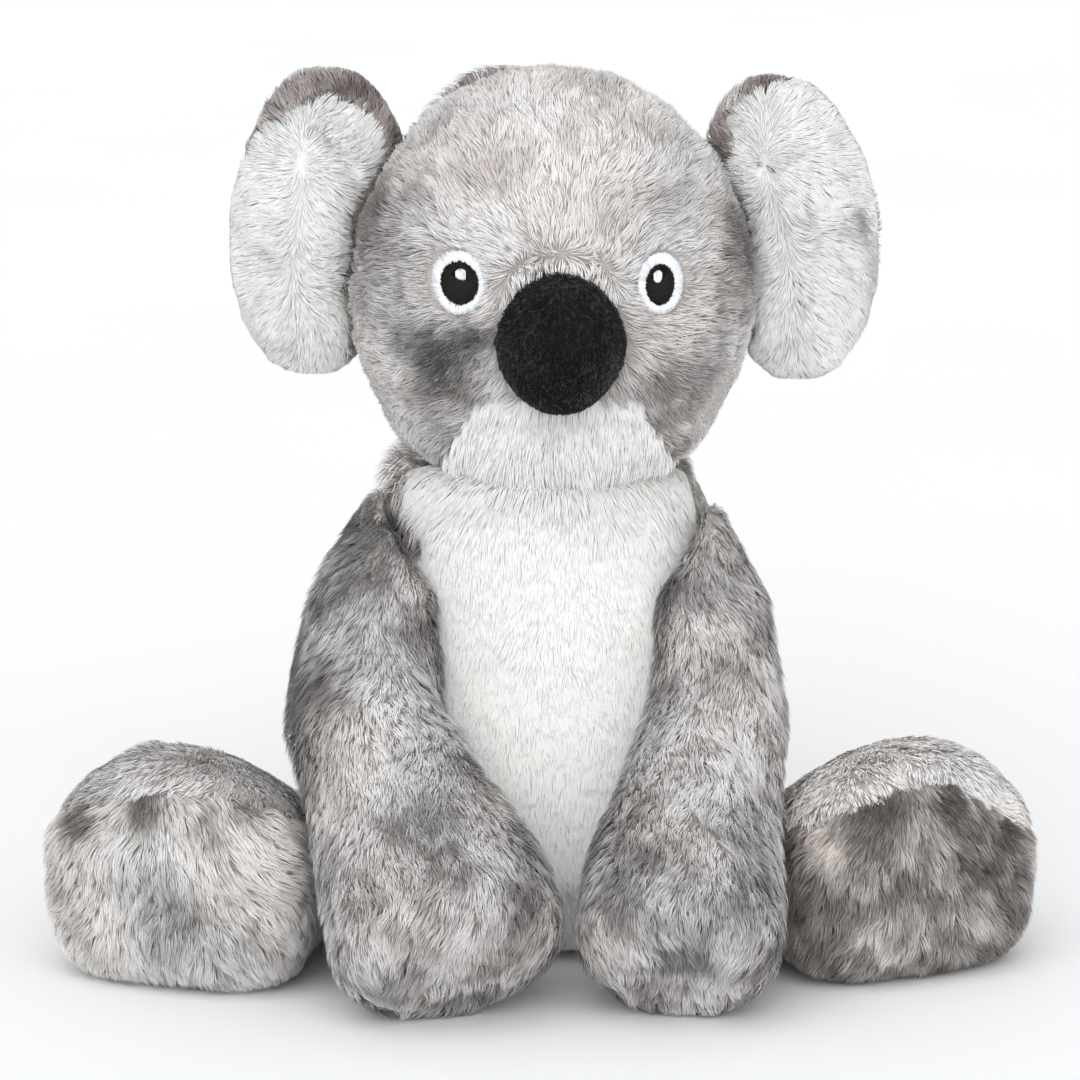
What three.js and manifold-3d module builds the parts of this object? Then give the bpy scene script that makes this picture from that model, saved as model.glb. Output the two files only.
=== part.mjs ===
// A seated plush koala, in millimetres, with +Z up.
// It faces -Y, and left is the -X side, as someone who faces the koala sees it.
// The origin is the middle of the flat under the body, on the surface it sits on.
import * as THREE from "three";
import { mergeVertices } from "three/addons/utils/BufferGeometryUtils.js";
import Module from "manifold-3d";

const wasm = await Module();
wasm.setup();

// Cloth and sewing: the space between neighbours, the pile cloth with its pile
// combed flat, and how deep the stuffed forms are pressed flat on the floor.
const gap = 0.3;
const cloth = 6;
const noseCloth = 3;
const flatDepth = 0.5;
const seamSlack = 2.5; // how much further the filling stops from a cut end

// Body: a pear that swells at the seat and tapers to the neck.
const neckHeight = 181;
const neckCover = 14;
const bodyHalfWidth = 79;
const bodyHalfDepth = 60;
const bodyWidthShares = [0.9, 0.97, 1, 0.97, 0.91, 0.84, 0.75, 0.64];
const bodyDepthShares = [0.93, 0.98, 1, 0.98, 0.93, 0.87, 0.8, 0.75];
const bodyBottomCap = 30;
const bodyBottomBlunt = 0.6;
const bodyAside = 6; // how far it leans to the left at the neck
const seatForward = 10;
const seatHeight = 30; // up to where the seat stands straight
const bodyTopCap = 10;
const bellyTopHalfWidth = 52;
const bellyHalfWidth = 59;
const bellyLowHalfWidth = 30;
const bellyDepthBack = 20;

// Head: nearly an egg on its side seam, with a white chin let into the face.
const headHalfWidth = 74.5;
const headHalfDepth = 65;
const headSunk = 23; // how far its round underside would reach below the neck
const headUpperCap = 82;
const headLowerCap = 86;
const headForward = 5;
const headSeamBack = 12;
const chinHeight = 33;
const chinTopHalfWidth = 28;
const chinLowHalfWidth = 49;

// Nose: a stuffed drop of short black plush.
const noseDrop = 7.5; // below the head's middle
const noseHalfWidth = 25;
const noseHalfHeight = 28;
const noseWidthShares = [0.98, 1, 1, 0.84];
const noseHalfDepth = 26;
const noseProud = 18;

// Eyes: embroidered patches, a ring round a dark disc round a highlight.
const eyeOut = 36.5;
const eyeRise = 12.5;
const eyeHalfWidth = 9.8;
const eyeHalfHeight = 11.4;
const eyeRingWidth = 3.6;
const eyeThread = 1.2;
const eyeSpread = 20;
const highlightRadius = 2.2;
const highlightRise = 2.8;
const eyeSides = 14;

// Ears: two flat puffed panels, which fold about the seam on the head's side.
const earOut = 86;
const earRise = 23;
const earBack = 7;
const earHalfWidth = 34;
const earHalfHeight = 58;
const earHalfThickness = 11;
const earLean = 7;
const earYaw = 8;
const earSeamBack = 3;
const earHingeOut = 70;
const earHingeRise = 18;
const earFoldForward = 35;
const earFoldBack = 20;

// Arms: they hang from the shoulders over the thighs, with the paws on the floor.
const shoulderOut = 46;
const shoulderForward = 8;
const shoulderHeight = 160;
const elbowOut = 68;
const elbowForward = 49;
const elbowHeight = 101;
const wristOut = 59;
const wristForward = 78;
const wristHeight = 65;
const palmOut = 40;
const palmForward = 106;
const palmHeight = 37;
const pawOut = 38;
const pawForward = 126;
const pawHeight = 14;
const armHalfWidth = 40;
const armHalfDepth = 37;
const armWidthShares = [0.54, 0.57, 0.62, 0.67, 0.75, 0.9, 1.05, 1.12];
const armDepthShares = [0.58, 0.66, 0.75, 0.82, 0.9, 0.97, 1, 0.98];
const shoulderCap = 17;
const pawCap = 34;
const pawBlunt = 0.45;
const armHingeOut = 47;
const armHingeForward = 13;
const armHingeHeight = 140;
const armLift = 50;
const armPastLeg = 24; // how far it lifts before it has left the leg

// Legs: short and thick, turned outwards, with the soles to the front.
const hipOut = 54;
const hipBack = 6;
const hipHingeOut = 62;
const hipHingeBack = 8;
const kneeOut = 106;
const kneeForward = 17;
const soleOut = 141;
const soleForward = 95;
const legHalfWidth = 50;
const legHalfHeight = 44.5;
const legWidthShares = [0.6, 0.66, 0.77, 0.92, 1, 0.98];
const legHeightShares = [0.5, 0.52, 0.6, 0.8, 0.98, 1];
const hipCap = 26;
const soleCap = 30;
const soleBlunt = 0.65;
const legUnderside = 0.5;
const soleSeamTop = 76;
const soleSeamTopForward = 74;
const soleSeamLowForward = 40;
const legTurn = 25;

// How each side sits: the left arm and leg lie a little further out, the left
// arm is pressed a little wider, and the right ear is sewn on a little lower.
const sides = [
  {
    name: "left",
    way: -1,
    earOutMore: 0,
    earRiseMore: 0,
    shoulderOutMore: 3,
    elbowOutMore: 4,
    wristOutMore: 4,
    palmOutMore: 8,
    pawOutMore: 2,
    pawForwardMore: 10,
    armShare: 0.97,
    legOutMore: 7,
  },
  {
    name: "right",
    way: 1,
    earOutMore: 3,
    earRiseMore: -3,
    shoulderOutMore: -6,
    elbowOutMore: -8,
    wristOutMore: -8,
    palmOutMore: 3,
    pawOutMore: -1,
    pawForwardMore: 12,
    armShare: 0.85,
    legOutMore: -5,
  },
];

const headMiddle = neckHeight - headSunk + headLowerCap;
const headTop = headMiddle + headUpperCap;
const reach = 2 * headTop; // past the whole koala, for planes and cutters
const fine = { sides: 24, capRings: 5, middleRings: 4 };
const limbFine = { sides: 18, capRings: 4, middleRings: 4 };
const coarse = { sides: 10, capRings: 3, middleRings: 3 };
const facetSag = 0.6; // how far a turned form's facets reach past its edges at rest
const sweepSteps = 4;

// A closed three.js geometry as a solid.
function solidOf(geometry) {
  const bare = geometry.clone();
  bare.deleteAttribute("normal");
  bare.deleteAttribute("uv");
  const merged = mergeVertices(bare);
  return new wasm.Manifold(
    new wasm.Mesh({
      numProp: 3,
      vertProperties: merged.attributes.position.array,
      triVerts: new Uint32Array(merged.index.array),
    }),
  );
}

// A solid's surface as a three.js geometry.
function geometryOf(solid) {
  const { numProp, vertProperties, triVerts } = solid.getMesh();
  const count = vertProperties.length / numProp;
  const places = new Float32Array(count * 3);
  for (let i = 0; i < count; i++)
    places.set(vertProperties.subarray(i * numProp, i * numProp + 3), i * 3);
  const shared = new THREE.BufferGeometry()
    .setAttribute("position", new THREE.BufferAttribute(places, 3))
    .setIndex(new THREE.BufferAttribute(triVerts, 1));
  const faceted = shared.toNonIndexed();
  faceted.computeVertexNormals();
  return faceted;
}

// The smooth value at a share of the way along evenly spaced values.
function smoothAt(values, share) {
  const points = values.map((value, i) => new THREE.Vector2(i, value));
  return new THREE.SplineCurve(points).getPoint(share).y;
}

// A stuffed form: oval rings square to a centre line from tip to tip, with a
// round cap at each end. A positive inset gives the same form that much smaller.
// Powers under 1 make a cap blunter, or press the rings' underside flatter.
function stuffedForm(form, inset, detail) {
  const line = new THREE.CatmullRomCurve3(form.line);
  const length = line.getLength();
  const { sides: count, capRings } = detail;
  const swung = (value, power) => Math.sign(value) * Math.abs(value) ** power;
  const middleRings = form.capsMeet ? 0 : detail.middleRings;
  const rings = [];
  for (let k = 1; k <= capRings; k++) {
    const turn = ((k / capRings) * Math.PI) / 2;
    const blunt = form.startBlunt ?? 1;
    const rise = (form.startCap - inset) * (1 - swung(Math.cos(turn), blunt));
    rings.push({ at: inset + rise, swell: Math.sin(turn) ** blunt });
  }
  const middle = length - form.startCap - form.endCap;
  for (let k = 1; k < middleRings; k++)
    rings.push({ at: form.startCap + (middle * k) / middleRings, swell: 1 });
  for (let k = form.capsMeet ? capRings - 1 : capRings; k > 0; k--) {
    const turn = ((k / capRings) * Math.PI) / 2;
    const blunt = form.endBlunt ?? 1;
    const rise = (form.endCap - inset) * (1 - swung(Math.cos(turn), blunt));
    rings.push({ at: length - inset - rise, swell: Math.sin(turn) ** blunt });
  }
  const places = [];
  const add = (point) => places.push(point.x, point.y, point.z);
  add(line.getPointAt(inset / length > 0 ? inset / length : 0).addScaledVector(
    line.getTangentAt(0), Math.min(inset, 0)));
  for (const { at, swell } of rings) {
    const share = THREE.MathUtils.clamp(at / length, 0, 1);
    const along = line.getTangentAt(share);
    const centre = line.getPointAt(share).addScaledVector(along, at - share * length);
    const across = form.across.clone().addScaledVector(along, -form.across.dot(along));
    across.normalize();
    const deep = along.clone().cross(across);
    const halfWidth = (smoothAt(form.halfWidths, share) - inset) * swell;
    const halfDepth = (smoothAt(form.halfDepths, share) - inset) * swell;
    for (let j = 0; j < count; j++) {
      const turn = (j / count) * 2 * Math.PI;
      const power = Math.cos(turn) < 0 ? (form.underside ?? 1) : 1;
      const out = halfWidth * swung(Math.cos(turn), power);
      const forward = halfDepth * swung(Math.sin(turn), power);
      add(centre.clone().addScaledVector(across, out).addScaledVector(deep, forward));
    }
  }
  const lastShare = Math.min((length - inset) / length, 1);
  add(line.getPointAt(lastShare).addScaledVector(line.getTangentAt(1), Math.max(-inset, 0)));
  const faces = [];
  const last = places.length / 3 - 1;
  const ringStart = (i) => 1 + i * count;
  for (let j = 0; j < count; j++) {
    const next = (j + 1) % count;
    faces.push(0, ringStart(0) + next, ringStart(0) + j);
    for (let i = 0; i < rings.length - 1; i++) {
      const low = ringStart(i);
      const high = ringStart(i + 1);
      faces.push(low + j, low + next, high + next);
      faces.push(low + j, high + next, high + j);
    }
    const top = ringStart(rings.length - 1);
    faces.push(last, top + j, top + next);
  }
  return new wasm.Manifold(
    new wasm.Mesh({
      numProp: 3,
      vertProperties: new Float32Array(places),
      triVerts: new Uint32Array(faces),
    }),
  );
}

// All the space on the far side of a plane square to one axis.
function beyond(axis, place, way) {
  const box = new THREE.BoxGeometry(reach, reach, reach);
  const centre = new THREE.Vector3();
  centre[axis] = place + (way * reach) / 2;
  return solidOf(box.translate(centre.x, centre.y, centre.z));
}

// An outline seen from the front, cut straight through from one depth to another.
function frontPrism(outline, fromY, toY) {
  const shape = new THREE.Shape(outline);
  const depth = toY - fromY;
  const prism = new THREE.ExtrudeGeometry(shape, { depth, bevelEnabled: false });
  return solidOf(prism.rotateX(Math.PI / 2).translate(0, toY, 0));
}

// An outline seen from the left (Y to the right, Z up), cut through along X.
function sidePrism(outline) {
  const shape = new THREE.Shape(outline);
  const options = { depth: reach, bevelEnabled: false };
  const prism = new THREE.ExtrudeGeometry(shape, options);
  const turn = new THREE.Matrix4().makeBasis(
    new THREE.Vector3(0, 1, 0),
    new THREE.Vector3(0, 0, 1),
    new THREE.Vector3(1, 0, 0),
  );
  return solidOf(prism.applyMatrix4(turn).translate(-reach / 2, 0, 0));
}

// What a moving piece must clear: an obstacle form at rest, and as that piece
// meets it on its way round the hinge.
function sweptPast(form, margin, detail, hinge, fromDegrees, toDegrees) {
  const passing = stuffedForm(form, -margin - facetSag, detail);
  let swept = stuffedForm(form, -margin, detail);
  for (let k = 0; k <= sweepSteps; k++) {
    const degrees = fromDegrees + ((toDegrees - fromDegrees) * k) / sweepSteps;
    if (degrees !== 0) swept = swept.add(turned(passing, hinge, -degrees));
  }
  return swept;
}

// A solid turned about a hinge.
function turned(solid, hinge, degrees) {
  const { x, y, z } = hinge.at;
  const turn = new THREE.Matrix4()
    .makeTranslation(x, y, z)
    .multiply(new THREE.Matrix4().makeRotationAxis(hinge.axis, (degrees * Math.PI) / 180))
    .multiply(new THREE.Matrix4().makeTranslation(-x, -y, -z));
  return solid.transform(turn.elements);
}

// A sewn pocket: its skin, and the filling inside. The cut is the space that the
// pocket keeps out of, given how deep under its own surface it is wanted. Only
// the skin's own surface needs its neighbours' full detail.
function pocket(form, cut, detail) {
  const skin = stuffedForm(form, 0, detail).subtract(cut(0, fine, limbFine));
  const hollow = stuffedForm(form, cloth, coarse).subtract(cut(cloth, coarse, coarse));
  const inner = cloth + 2 * gap;
  const end = cut(inner + seamSlack, coarse, coarse);
  const filling = stuffedForm(form, inner, coarse).subtract(end);
  return { skin: skin.subtract(hollow), filling };
}

// Body
const bodyForm = {
  line: [
    new THREE.Vector3(0, -seatForward, -flatDepth),
    new THREE.Vector3(0, -seatForward, seatHeight),
    new THREE.Vector3(0, 0, neckHeight / 2),
    new THREE.Vector3(-bodyAside, -headForward, neckHeight + neckCover),
  ],
  across: new THREE.Vector3(1, 0, 0),
  halfWidths: bodyWidthShares.map((share) => share * bodyHalfWidth),
  halfDepths: bodyDepthShares.map((share) => share * bodyHalfDepth),
  startCap: bodyBottomCap,
  endCap: bodyTopCap,
  startBlunt: bodyBottomBlunt,
};

// The space under the floor, raised by the depth.
const underFloor = (depth) => beyond("z", depth, -1);

function bodyCut(depth) {
  return underFloor(depth).add(beyond("z", neckHeight - gap / 2 - depth, 1));
}

// The belly panel's outline, grown by a margin.
function bellyOutline(margin) {
  const halfWidths = [
    new THREE.Vector2(bellyLowHalfWidth + margin, -cloth),
    new THREE.Vector2(bellyHalfWidth + margin, neckHeight / 2),
    new THREE.Vector2(bellyTopHalfWidth + margin, neckHeight + cloth),
  ];
  const side = new THREE.SplineCurve(halfWidths).getPoints(10);
  return [...side, ...side.map((p) => new THREE.Vector2(-p.x, p.y)).reverse()];
}

function bellyCutter(margin) {
  return frontPrism(bellyOutline(margin), -reach, -bellyDepthBack + margin);
}

// Head
const headForm = {
  line: [
    new THREE.Vector3(0, -headForward, headMiddle - headLowerCap),
    new THREE.Vector3(0, -headForward, headMiddle),
    new THREE.Vector3(0, -headForward, headTop),
  ],
  across: new THREE.Vector3(1, 0, 0),
  halfWidths: [headHalfWidth, headHalfWidth],
  halfDepths: [headHalfDepth, headHalfDepth],
  startCap: headLowerCap,
  endCap: headUpperCap,
  capsMeet: true,
};

function headCut(depth) {
  return beyond("z", neckHeight + gap / 2 + depth, -1);
}

// The chin panel's outline, grown by a margin.
function chinOutline(margin) {
  const top = neckHeight + chinHeight + margin;
  const low = neckHeight - cloth;
  const topHalf = chinTopHalfWidth + margin;
  const lowHalf = chinLowHalfWidth + margin;
  return [
    new THREE.Vector2(-lowHalf, low),
    new THREE.Vector2(lowHalf, low),
    new THREE.Vector2(topHalf, top),
    new THREE.Vector2(-topHalf, top),
  ];
}

function chinCutter(margin) {
  return frontPrism(chinOutline(margin), -reach, -headForward - cloth + margin);
}

// Where the head's front is, at a place seen from the front.
function faceDepth(x, z) {
  const rise = z > headMiddle ? (z - headMiddle) / headUpperCap : (headMiddle - z) / headLowerCap;
  return headForward + headHalfDepth * Math.sqrt(1 - rise ** 2 - (x / headHalfWidth) ** 2);
}

// Nose
const noseHeight = headMiddle - noseDrop;
const noseForm = {
  line: [-1, 0, 1].map(
    (way) =>
      new THREE.Vector3(
        0,
        noseHalfDepth - noseProud - faceDepth(0, noseHeight),
        noseHeight + way * noseHalfHeight,
      ),
  ),
  across: new THREE.Vector3(1, 0, 0),
  halfWidths: noseWidthShares.map((share) => share * noseHalfWidth),
  halfDepths: [noseHalfDepth, noseHalfDepth],
  startCap: noseHalfHeight,
  endCap: noseHalfHeight,
  capsMeet: true,
};
const noseDetail = { sides: 16, capRings: 4 };

// The three threads of one eye, cut from a thin layer on the face.
function eyePieces(way) {
  const eyeHeight = headMiddle + eyeRise;
  const layer = stuffedForm(headForm, -gap - eyeThread, fine).subtract(
    stuffedForm(headForm, -gap, fine),
  );
  const at = new THREE.Vector3(way * eyeOut, -faceDepth(eyeOut, eyeHeight), eyeHeight);
  const oval = (halfWidth, halfHeight, rise) => {
    const stick = new THREE.CylinderGeometry(1, 1, cloth, eyeSides);
    stick.scale(halfWidth, 1, halfHeight);
    stick.translate(0, 0, -rise);
    stick.rotateZ((way * eyeSpread * Math.PI) / 180);
    return solidOf(stick.translate(at.x, at.y, at.z));
  };
  const discHalfWidth = eyeHalfWidth - eyeRingWidth;
  const discHalfHeight = eyeHalfHeight - eyeRingWidth;
  const bright = (margin) =>
    oval(highlightRadius + margin, highlightRadius + margin, -highlightRise);
  const ringHole = oval(discHalfWidth + gap, discHalfHeight + gap, 0);
  return {
    ring: layer.intersect(oval(eyeHalfWidth, eyeHalfHeight, 0).subtract(ringHole)),
    disc: layer.intersect(oval(discHalfWidth, discHalfHeight, 0).subtract(bright(gap))),
    highlight: layer.intersect(bright(0)),
  };
}

// Ears
function earForm(way) {
  const lean = (earLean * Math.PI) / 180;
  const yaw = (earYaw * Math.PI) / 180;
  const up = new THREE.Vector3(-way * Math.sin(lean), 0, Math.cos(lean));
  const { earOutMore, earRiseMore } = sides.find((side) => side.way === way);
  const out = way * (earOut + earOutMore);
  const centre = new THREE.Vector3(out, earBack, headMiddle + earRise + earRiseMore);
  return {
    line: [-1, 0, 1].map((end) => centre.clone().addScaledVector(up, end * earHalfHeight)),
    across: new THREE.Vector3(Math.cos(yaw), way * Math.sin(yaw), 0),
    halfWidths: [earHalfWidth, earHalfWidth],
    halfDepths: [earHalfThickness, earHalfThickness],
    startCap: earHalfHeight,
    endCap: earHalfHeight,
    capsMeet: true,
    centre,
    up,
  };
}

function earHinge(way) {
  const { up } = earForm(way);
  return {
    at: new THREE.Vector3(way * earHingeOut, earBack, headMiddle + earHingeRise),
    axis: up.clone().multiplyScalar(-way),
  };
}

// The half space behind the ear's own middle, moved back by a distance.
function behindEar(way, distance) {
  const form = earForm(way);
  const back = form.up.clone().cross(form.across).normalize();
  const box = new THREE.BoxGeometry(reach, reach, reach);
  const basis = new THREE.Matrix4().makeBasis(form.across, back, form.up);
  const centre = form.centre.clone().addScaledVector(back, distance + reach / 2);
  return solidOf(box.applyMatrix4(basis).translate(centre.x, centre.y, centre.z));
}

// Arms
function armForm(side) {
  const { way, shoulderOutMore, elbowOutMore, wristOutMore, palmOutMore } = side;
  const { pawOutMore, pawForwardMore, armShare } = side;
  const shoulder = shoulderOut + shoulderOutMore;
  const form = {
    line: [
      new THREE.Vector3(way * shoulder, -shoulderForward, shoulderHeight),
      new THREE.Vector3(way * (elbowOut + elbowOutMore), -elbowForward, elbowHeight),
      new THREE.Vector3(way * (wristOut + wristOutMore), -wristForward, wristHeight),
      new THREE.Vector3(way * (palmOut + palmOutMore), -palmForward, palmHeight),
      new THREE.Vector3(way * (pawOut + pawOutMore), -pawForward - pawForwardMore, pawHeight),
    ],
    across: new THREE.Vector3(1, 0, 0),
    halfWidths: armWidthShares.map((share) => share * armShare * armHalfWidth),
    halfDepths: armDepthShares.map((share) => share * armHalfDepth),
    startCap: shoulderCap,
    endCap: pawCap,
    endBlunt: pawBlunt,
  };
  const lowest = stuffedForm(form, 0, limbFine).boundingBox().min[2];
  for (const point of form.line) point.z -= lowest + flatDepth;
  return form;
}

const shoulderHinge = (way) => ({
  at: new THREE.Vector3(way * armHingeOut, -armHingeForward, armHingeHeight),
  axis: new THREE.Vector3(-1, 0, 0),
});

function armCut(side) {
  return (depth, bodyDetail) => {
    const hinge = shoulderHinge(side.way);
    const swept = sweptPast(bodyForm, gap + depth, bodyDetail, hinge, 0, armLift);
    return swept.add(underFloor(depth));
  };
}

// The space behind and under an arm's centre line, moved back by a distance.
function underArm(side, distance) {
  const points = new THREE.CatmullRomCurve3(armForm(side).line).getPoints(10);
  const line = points.map((p) => new THREE.Vector2(p.y + distance, p.z));
  return sidePrism([
    new THREE.Vector2(line[0].x, reach),
    ...line,
    new THREE.Vector2(line[line.length - 1].x, -reach),
    new THREE.Vector2(reach, -reach),
    new THREE.Vector2(reach, reach),
  ]);
}

// Legs
function legForm({ way, legOutMore }) {
  const plan = new THREE.CatmullRomCurve3([
    new THREE.Vector3(way * hipOut, hipBack, 0),
    new THREE.Vector3(way * (kneeOut + legOutMore), -kneeForward, 0),
    new THREE.Vector3(way * (soleOut + legOutMore), -soleForward, 0),
  ]);
  const lying = (share, i) => {
    const point = plan.getPointAt(i / (legHeightShares.length - 1));
    return point.setZ(share * legHalfHeight - flatDepth);
  };
  return {
    line: legHeightShares.map(lying),
    across: new THREE.Vector3(0, 0, 1),
    halfWidths: legHeightShares.map((share) => share * legHalfHeight),
    halfDepths: legWidthShares.map((share) => share * legHalfWidth),
    startCap: hipCap,
    endCap: soleCap,
    endBlunt: soleBlunt,
    underside: legUnderside,
  };
}

const hipHinge = (way) => ({
  at: new THREE.Vector3(way * hipHingeOut, hipHingeBack, legHalfHeight),
  axis: new THREE.Vector3(0, 0, way),
});

// A leg turns out past the body, and the arm lifts past the leg.
function legCut(side) {
  return (depth, bodyDetail, armDetail) => {
    const hip = hipHinge(side.way);
    const shoulder = shoulderHinge(side.way);
    const margin = gap + depth;
    const pastBody = sweptPast(bodyForm, margin, bodyDetail, hip, 0, legTurn);
    const pastArm = sweptPast(armForm(side), margin, armDetail, shoulder, 0, -armPastLeg);
    return pastBody.add(pastArm).add(underFloor(depth));
  };
}

// The space in front of the seam round the sole, moved forward by a distance.
function soleCutter(distance) {
  const slope = (soleSeamTopForward - soleSeamLowForward) / soleSeamTop;
  const at = (z) => new THREE.Vector2(-soleSeamLowForward - slope * z - distance, z);
  return sidePrism([
    at(-reach),
    at(reach),
    new THREE.Vector2(-reach, reach),
    new THREE.Vector2(-reach, -reach),
  ].reverse());
}

// Materials, one for each piece, from the finishes.
const finishes = {
  greyPile: { color: 0x9d9690, roughness: 0.95 },
  darkPile: { color: 0x5d5854, roughness: 0.95 },
  solePile: { color: 0xb3ada5, roughness: 0.95 },
  whitePile: { color: 0xf2f2f0, roughness: 0.95 },
  blackPlush: { color: 0x1b1918, roughness: 0.9 },
  whiteThread: { color: 0xf5f5f5, roughness: 0.5 },
  darkThread: { color: 0x231c1a, roughness: 0.55 },
  fibre: { color: 0xfafafa, roughness: 1 },
};

const koala = new THREE.Group();

// A group at a joint, so that what is in it turns about that place.
function jointGroup(parent, at) {
  const group = new THREE.Group();
  parent.add(group);
  parent.updateWorldMatrix(true, false);
  group.position.copy(parent.worldToLocal(at.clone()));
  group.updateWorldMatrix(true, false);
  return group;
}

// One named piece, from a solid in the koala's frame.
function addPiece(group, name, finish, solid) {
  group.updateWorldMatrix(true, false);
  const geometry = geometryOf(solid);
  geometry.applyMatrix4(group.matrixWorld.clone().invert());
  const material = new THREE.MeshStandardMaterial({ metalness: 0, ...finishes[finish] });
  const mesh = new THREE.Mesh(geometry, material);
  mesh.name = name;
  group.add(mesh);
}

function buildBody() {
  const { skin, filling } = pocket(bodyForm, bodyCut, fine);
  addPiece(koala, "belly_panel", "whitePile", skin.intersect(bellyCutter(-gap / 2)));
  addPiece(koala, "body_back_panel", "greyPile", skin.subtract(bellyCutter(gap / 2)));
  addPiece(koala, "body_filling", "fibre", filling);
}

function buildHead() {
  const head = jointGroup(koala, new THREE.Vector3(0, -headForward, neckHeight));
  const { skin, filling } = pocket(headForm, headCut, fine);
  const front = skin.intersect(beyond("y", headSeamBack - gap / 2, -1));
  const back = skin.intersect(beyond("y", headSeamBack + gap / 2, 1));
  addPiece(head, "face_panel", "greyPile", front.subtract(chinCutter(gap / 2)));
  addPiece(head, "chin_panel", "whitePile", front.intersect(chinCutter(-gap / 2)));
  addPiece(head, "head_back_panel", "darkPile", back);
  addPiece(head, "head_filling", "fibre", filling);
  return head;
}

function buildNose(head) {
  const faceSpace = stuffedForm(headForm, -gap, fine);
  const hollow = stuffedForm(noseForm, noseCloth, noseDetail);
  const filling = stuffedForm(noseForm, noseCloth + gap, noseDetail);
  const skin = stuffedForm(noseForm, 0, noseDetail).subtract(hollow);
  addPiece(head, "nose_skin", "blackPlush", skin.subtract(faceSpace));
  addPiece(head, "nose_filling", "fibre", filling.subtract(faceSpace));
}

function buildEye(head, { name, way }) {
  const { ring, disc, highlight } = eyePieces(way);
  addPiece(head, name + "_eye_ring", "whiteThread", ring);
  addPiece(head, name + "_eye_disc", "darkThread", disc);
  addPiece(head, name + "_eye_highlight", "whiteThread", highlight);
}

function buildEar(head, { name, way }) {
  const hinge = earHinge(way);
  const group = jointGroup(head, hinge.at);
  const clear = sweptPast(headForm, gap, fine, hinge, -earFoldBack, earFoldForward);
  const ear = stuffedForm(earForm(way), 0, limbFine).subtract(clear);
  const back = ear.intersect(behindEar(way, earSeamBack + gap / 2));
  const lining = ear.subtract(behindEar(way, earSeamBack - gap / 2));
  addPiece(group, name + "_ear_back", "darkPile", back);
  addPiece(group, name + "_ear_lining", "whitePile", lining);
}

function buildArm(side) {
  const group = jointGroup(koala, shoulderHinge(side.way).at);
  const { skin, filling } = pocket(armForm(side), armCut(side), limbFine);
  const front = skin.subtract(underArm(side, -gap / 2));
  const under = skin.intersect(underArm(side, gap / 2));
  addPiece(group, side.name + "_arm_front_panel", "greyPile", front);
  addPiece(group, side.name + "_arm_under_panel", "greyPile", under);
  addPiece(group, side.name + "_arm_filling", "fibre", filling);
}

function buildLeg(side) {
  const group = jointGroup(koala, hipHinge(side.way).at);
  const { skin, filling } = pocket(legForm(side), legCut(side), limbFine);
  addPiece(group, side.name + "_leg_panel", "greyPile", skin.subtract(soleCutter(-gap / 2)));
  addPiece(group, side.name + "_sole_panel", "solePile", skin.intersect(soleCutter(gap / 2)));
  addPiece(group, side.name + "_leg_filling", "fibre", filling);
}

buildBody();
const head = buildHead();
buildNose(head);
for (const side of sides) {
  buildEye(head, side);
  buildEar(head, side);
  buildArm(side);
  buildLeg(side);
}

export default koala;
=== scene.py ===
import math

import bpy
import numpy as np
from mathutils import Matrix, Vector
from mathutils.bvhtree import BVHTree
from mathutils.kdtree import KDTree


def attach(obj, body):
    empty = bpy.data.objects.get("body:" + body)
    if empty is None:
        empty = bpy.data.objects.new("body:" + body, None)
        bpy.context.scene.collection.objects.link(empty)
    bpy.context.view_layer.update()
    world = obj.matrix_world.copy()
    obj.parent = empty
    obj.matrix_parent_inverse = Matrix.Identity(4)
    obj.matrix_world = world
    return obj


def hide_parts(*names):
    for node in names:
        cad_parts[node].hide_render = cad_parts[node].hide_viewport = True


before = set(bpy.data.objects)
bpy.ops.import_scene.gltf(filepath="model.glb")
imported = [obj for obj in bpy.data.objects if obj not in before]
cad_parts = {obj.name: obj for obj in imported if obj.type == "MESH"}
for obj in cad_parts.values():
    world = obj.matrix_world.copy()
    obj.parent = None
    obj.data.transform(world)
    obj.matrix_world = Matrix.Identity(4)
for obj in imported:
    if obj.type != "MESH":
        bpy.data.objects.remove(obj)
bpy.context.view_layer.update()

scene = bpy.context.scene

# Lengths are in millimetres where no comment says metres. Left is -X, as in the photograph.
MM = 0.001

# The photograph's view, in metres: a long lens, a little above the koala and from its right
TARGET = Vector((-0.0045, 0.0, 0.147))
DISTANCE = 1.65
ELEVATION = math.radians(13.5)
AZIMUTH = math.radians(2.5)
FRAME_WIDTH = 0.408  # what the picture's width takes in at the target
NEAREST = 0.05
SENSOR_WIDTH = 36  # millimetres

WORLD_LIGHT = 0.7  # the backdrop that the camera sees has 1
LAMPS = {  # strength, spread and turn, both in degrees
    "soft key": (1.2, 60, (40, 0, -24)),
    "soft front": (1.0, 80, (74, 0, 14)),
}
FLOOR_SIDE = 16  # metres

# Cloth and filling
FLOOR_GAP = 0.4  # what the cloth keeps above the floor
NEIGHBOUR_GAP = 0.3
CLOTH_THICKNESS = 1.4
VOXEL = 4
WELD = 0.02
EASE_ROUNDS = 10
AIR_PRESSURE = 4
FILLING_FRAMES = 20
MOST_FULLNESS = 2.5  # how far the filling pushes the cloth out
SEAM_SINK = 0.8
PILE_REACH, START_DEPTH = 14, 1.0  # how far a neighbour is looked for, from this deep in the cloth
STUFFING_INSET = 2.0
STUFFING_FLOOR_GAP = 2.2
FRONT_Y = -30  # the face's front is what lies before it


# Studio


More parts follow.
